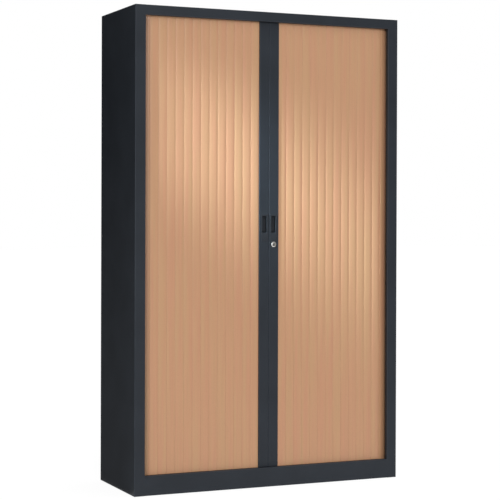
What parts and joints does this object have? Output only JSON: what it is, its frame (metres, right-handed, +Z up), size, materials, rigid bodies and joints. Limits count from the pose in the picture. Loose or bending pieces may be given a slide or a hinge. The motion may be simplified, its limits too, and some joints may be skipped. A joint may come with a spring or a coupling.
{
  "type": "tambour door cabinet",
  "caption": "Tall free-standing steel office cupboard whose slatted tambour curtains slide sideways round the front corners into side pockets, opening shelves behind them.",
  "frame": {"origin": "on the floor, under the middle of the cabinet's width and depth", "axes": "+Z up, -Y out of the curtain front, +X to the right seen from the front"},
  "size_m": [1.2, 0.43, 1.98],
  "materials": {
    "powder_coat": "fine-textured satin anthracite powder coat on folded sheet steel",
    "stile_coat": "smooth satin anthracite lacquer on a folded profile",
    "beech_foil": "satin beech-look foil on extruded PVC, with fine upright grain",
    "track_plastic": "matt black low-friction plastic",
    "grip_plastic": "fine-grained moulded ABS, anthracite",
    "nickel": "satin nickel plating on a turned zinc lock",
    "zinc_steel": "bright zinc-plated steel"
  },
  "bodies": {
    "carcass": {"left_side_panel": "powder_coat", "right_side_panel": "powder_coat", "top_panel": "powder_coat", "ceiling_panel": "powder_coat", "base_deck": "powder_coat", "plinth_front": "powder_coat", "back_panel": "powder_coat", "left_inner_upright": "powder_coat", "right_inner_upright": "powder_coat", "shelf_1": "powder_coat", "shelf_2": "powder_coat", "shelf_3": "powder_coat", "shelf_4": "powder_coat", "left_bottom_track": "track_plastic", "left_top_track": "track_plastic", "right_bottom_track": "track_plastic", "right_top_track": "track_plastic"},
    "left_curtain": {"left_stile": "stile_coat", "left_grip": "grip_plastic", "left_bottom_glide": "track_plastic", "left_top_glide": "track_plastic"},
    "right_curtain": {"right_stile": "stile_coat", "right_grip": "grip_plastic", "right_bottom_glide": "track_plastic", "right_top_glide": "track_plastic", "lock_body": "nickel"},
    "lock_barrel": {"lock_plug": "nickel", "lock_hook": "zinc_steel"},
    "left_slat_01": {"left_slat_01": "beech_foil"},
    "left_slat_02": {"left_slat_02": "beech_foil"},
    "left_slat_03": {"left_slat_03": "beech_foil"},
    "left_slat_04": {"left_slat_04": "beech_foil"},
    "left_slat_05": {"left_slat_05": "beech_foil"},
    "left_slat_06": {"left_slat_06": "beech_foil"},
    "left_slat_07": {"left_slat_07": "beech_foil"},
    "left_slat_08": {"left_slat_08": "beech_foil"},
    "left_slat_09": {"left_slat_09": "beech_foil"},
    "left_slat_10": {"left_slat_10": "beech_foil"},
    "left_slat_11": {"left_slat_11": "beech_foil"},
    "left_slat_12": {"left_slat_12": "beech_foil"},
    "left_slat_13": {"left_slat_13": "beech_foil"},
    "left_slat_14": {"left_slat_14": "beech_foil"},
    "right_slat_01": {"right_slat_01": "beech_foil"},
    "right_slat_02": {"right_slat_02": "beech_foil"},
    "right_slat_03": {"right_slat_03": "beech_foil"},
    "right_slat_04": {"right_slat_04": "beech_foil"},
    "right_slat_05": {"right_slat_05": "beech_foil"},
    "right_slat_06": {"right_slat_06": "beech_foil"},
    "right_slat_07": {"right_slat_07": "beech_foil"},
    "right_slat_08": {"right_slat_08": "beech_foil"},
    "right_slat_09": {"right_slat_09": "beech_foil"},
    "right_slat_10": {"right_slat_10": "beech_foil"},
    "right_slat_11": {"right_slat_11": "beech_foil"},
    "right_slat_12": {"right_slat_12": "beech_foil"},
    "right_slat_13": {"right_slat_13": "beech_foil"},
    "right_slat_14": {"right_slat_14": "beech_foil"},
    "front_left_foot": {"front_left_foot": "zinc_steel"},
    "front_right_foot": {"front_right_foot": "zinc_steel"},
    "rear_left_foot": {"rear_left_foot": "zinc_steel"},
    "rear_right_foot": {"rear_right_foot": "zinc_steel"}
  },
  "joints": [
    {"name": "left_curtain_slide", "type": "slide", "parent": "carcass", "child": "left_curtain", "axis": [-1, 0, 0], "range_m": [0, 0.5], "deforming": ["left_slat_01", "left_slat_02", "left_slat_03", "left_slat_04", "left_slat_05", "left_slat_06", "left_slat_07", "left_slat_08", "left_slat_09", "left_slat_10", "left_slat_11", "left_slat_12", "left_slat_13", "left_slat_14"]},
    {"name": "left_slat_01_slide", "type": "slide", "parent": "carcass", "child": "left_slat_01", "axis": [-1, 0, 0], "range_m": [0, 0.5]},
    {"name": "left_slat_02_slide", "type": "slide", "parent": "carcass", "child": "left_slat_02", "axis": [-1, 0.0078, 0], "range_m": [0, 0.46277]},
    {"name": "left_slat_03_slide", "type": "slide", "parent": "carcass", "child": "left_slat_03", "axis": [-0.9999, 0.0169, 0], "range_m": [0, 0.42557]},
    {"name": "left_slat_04_slide", "type": "slide", "parent": "carcass", "child": "left_slat_04", "axis": [-0.9996, 0.0278, 0], "range_m": [0, 0.38841]},
    {"name": "left_slat_05_slide", "type": "slide", "parent": "carcass", "child": "left_slat_05", "axis": [-0.9992, 0.041, 0], "range_m": [0, 0.35131]},
    {"name": "left_slat_06_slide", "type": "slide", "parent": "carcass", "child": "left_slat_06", "axis": [-0.9984, 0.0573, 0], "range_m": [0, 0.31429]},
    {"name": "left_slat_07_slide", "type": "slide", "parent": "carcass", "child": "left_slat_07", "axis": [-0.997, 0.0779, 0], "range_m": [0, 0.27737]},
    {"name": "left_slat_08_slide", "type": "slide", "parent": "carcass", "child": "left_slat_08", "axis": [-0.9945, 0.1047, 0], "range_m": [0, 0.2406]},
    {"name": "left_slat_09_slide", "type": "slide", "parent": "carcass", "child": "left_slat_09", "axis": [-0.99, 0.1411, 0], "range_m": [0, 0.20407]},
    {"name": "left_slat_10_slide", "type": "slide", "parent": "carcass", "child": "left_slat_10", "axis": [-0.9812, 0.1929, 0], "range_m": [0, 0.16794]},
    {"name": "left_slat_11_slide", "type": "slide", "parent": "carcass", "child": "left_slat_11", "axis": [-0.9624, 0.2717, 0], "range_m": [0, 0.13252]},
    {"name": "left_slat_12_slide", "type": "slide", "parent": "carcass", "child": "left_slat_12", "axis": [-0.9158, 0.4016, 0], "range_m": [0, 0.0986]},
    {"name": "left_slat_13_slide", "type": "slide", "parent": "carcass", "child": "left_slat_13", "axis": [-0.7754, 0.6315, 0], "range_m": [0, 0.06841]},
    {"name": "left_slat_14_slide", "type": "slide", "parent": "carcass", "child": "left_slat_14", "axis": [-0.4191, 0.908, 0], "range_m": [0, 0.05727]},
    {"name": "right_curtain_slide", "type": "slide", "parent": "carcass", "child": "right_curtain", "axis": [1, 0, 0], "range_m": [0, 0.5], "deforming": ["right_slat_01", "right_slat_02", "right_slat_03", "right_slat_04", "right_slat_05", "right_slat_06", "right_slat_07", "right_slat_08", "right_slat_09", "right_slat_10", "right_slat_11", "right_slat_12", "right_slat_13", "right_slat_14"]},
    {"name": "right_slat_01_slide", "type": "slide", "parent": "carcass", "child": "right_slat_01", "axis": [1, 0, 0], "range_m": [0, 0.5]},
    {"name": "right_slat_02_slide", "type": "slide", "parent": "carcass", "child": "right_slat_02", "axis": [1, 0.0078, 0], "range_m": [0, 0.46277]},
    {"name": "right_slat_03_slide", "type": "slide", "parent": "carcass", "child": "right_slat_03", "axis": [0.9999, 0.0169, 0], "range_m": [0, 0.42557]},
    {"name": "right_slat_04_slide", "type": "slide", "parent": "carcass", "child": "right_slat_04", "axis": [0.9996, 0.0278, 0], "range_m": [0, 0.38841]},
    {"name": "right_slat_05_slide", "type": "slide", "parent": "carcass", "child": "right_slat_05", "axis": [0.9992, 0.041, 0], "range_m": [0, 0.35131]},
    {"name": "right_slat_06_slide", "type": "slide", "parent": "carcass", "child": "right_slat_06", "axis": [0.9984, 0.0573, 0], "range_m": [0, 0.31429]},
    {"name": "right_slat_07_slide", "type": "slide", "parent": "carcass", "child": "right_slat_07", "axis": [0.997, 0.0779, 0], "range_m": [0, 0.27737]},
    {"name": "right_slat_08_slide", "type": "slide", "parent": "carcass", "child": "right_slat_08", "axis": [0.9945, 0.1047, 0], "range_m": [0, 0.2406]},
    {"name": "right_slat_09_slide", "type": "slide", "parent": "carcass", "child": "right_slat_09", "axis": [0.99, 0.1411, 0], "range_m": [0, 0.20407]},
    {"name": "right_slat_10_slide", "type": "slide", "parent": "carcass", "child": "right_slat_10", "axis": [0.9812, 0.1929, 0], "range_m": [0, 0.16794]},
    {"name": "right_slat_11_slide", "type": "slide", "parent": "carcass", "child": "right_slat_11", "axis": [0.9624, 0.2717, 0], "range_m": [0, 0.13252]},
    {"name": "right_slat_12_slide", "type": "slide", "parent": "carcass", "child": "right_slat_12", "axis": [0.9158, 0.4016, 0], "range_m": [0, 0.0986]},
    {"name": "right_slat_13_slide", "type": "slide", "parent": "carcass", "child": "right_slat_13", "axis": [0.7754, 0.6315, 0], "range_m": [0, 0.06841]},
    {"name": "right_slat_14_slide", "type": "slide", "parent": "carcass", "child": "right_slat_14", "axis": [0.4191, 0.908, 0], "range_m": [0, 0.05727]},
    {"name": "lock_turn", "type": "hinge", "parent": "right_curtain", "child": "lock_barrel", "pos_m": [0.0224, -0.19, 1.012], "axis": [0, -1, 0], "range_deg": [0, 90]},
    {"name": "front_left_foot_turn", "type": "hinge", "parent": "carcass", "child": "front_left_foot", "pos_m": [-0.51, -0.15, 0], "axis": [0, 0, 1], "range_deg": [0, 360]},
    {"name": "front_right_foot_turn", "type": "hinge", "parent": "carcass", "child": "front_right_foot", "pos_m": [0.51, -0.15, 0], "axis": [0, 0, 1], "range_deg": [0, 360]},
    {"name": "rear_left_foot_turn", "type": "hinge", "parent": "carcass", "child": "rear_left_foot", "pos_m": [-0.51, 0.15, 0], "axis": [0, 0, 1], "range_deg": [0, 360]},
    {"name": "rear_right_foot_turn", "type": "hinge", "parent": "carcass", "child": "rear_right_foot", "pos_m": [0.51, 0.15, 0], "axis": [0, 0, 1], "range_deg": [0, 360]}
  ],
  "couplings": [
    {"joint": "left_slat_01_slide", "follows": "left_curtain_slide", "ratio": 1},
    {"joint": "left_slat_02_slide", "follows": "left_curtain_slide", "ratio": 0.92554},
    {"joint": "left_slat_03_slide", "follows": "left_curtain_slide", "ratio": 0.85114},
    {"joint": "left_slat_04_slide", "follows": "left_curtain_slide", "ratio": 0.77682},
    {"joint": "left_slat_05_slide", "follows": "left_curtain_slide", "ratio": 0.70262},
    {"joint": "left_slat_06_slide", "follows": "left_curtain_slide", "ratio": 0.62857},
    {"joint": "left_slat_07_slide", "follows": "left_curtain_slide", "ratio": 0.55473},
    {"joint": "left_slat_08_slide", "follows": "left_curtain_slide", "ratio": 0.4812},
    {"joint": "left_slat_09_slide", "follows": "left_curtain_slide", "ratio": 0.40815},
    {"joint": "left_slat_10_slide", "follows": "left_curtain_slide", "ratio": 0.33588},
    {"joint": "left_slat_11_slide", "follows": "left_curtain_slide", "ratio": 0.26504},
    {"joint": "left_slat_12_slide", "follows": "left_curtain_slide", "ratio": 0.19719},
    {"joint": "left_slat_13_slide", "follows": "left_curtain_slide", "ratio": 0.13682},
    {"joint": "left_slat_14_slide", "follows": "left_curtain_slide", "ratio": 0.11454},
    {"joint": "right_slat_01_slide", "follows": "right_curtain_slide", "ratio": 1},
    {"joint": "right_slat_02_slide", "follows": "right_curtain_slide", "ratio": 0.92554},
    {"joint": "right_slat_03_slide", "follows": "right_curtain_slide", "ratio": 0.85114},
    {"joint": "right_slat_04_slide", "follows": "right_curtain_slide", "ratio": 0.77682},
    {"joint": "right_slat_05_slide", "follows": "right_curtain_slide", "ratio": 0.70262},
    {"joint": "right_slat_06_slide", "follows": "right_curtain_slide", "ratio": 0.62857},
    {"joint": "right_slat_07_slide", "follows": "right_curtain_slide", "ratio": 0.55473},
    {"joint": "right_slat_08_slide", "follows": "right_curtain_slide", "ratio": 0.4812},
    {"joint": "right_slat_09_slide", "follows": "right_curtain_slide", "ratio": 0.40815},
    {"joint": "right_slat_10_slide", "follows": "right_curtain_slide", "ratio": 0.33588},
    {"joint": "right_slat_11_slide", "follows": "right_curtain_slide", "ratio": 0.26504},
    {"joint": "right_slat_12_slide", "follows": "right_curtain_slide", "ratio": 0.19719},
    {"joint": "right_slat_13_slide", "follows": "right_curtain_slide", "ratio": 0.13682},
    {"joint": "right_slat_14_slide", "follows": "right_curtain_slide", "ratio": 0.11454}
  ]
}
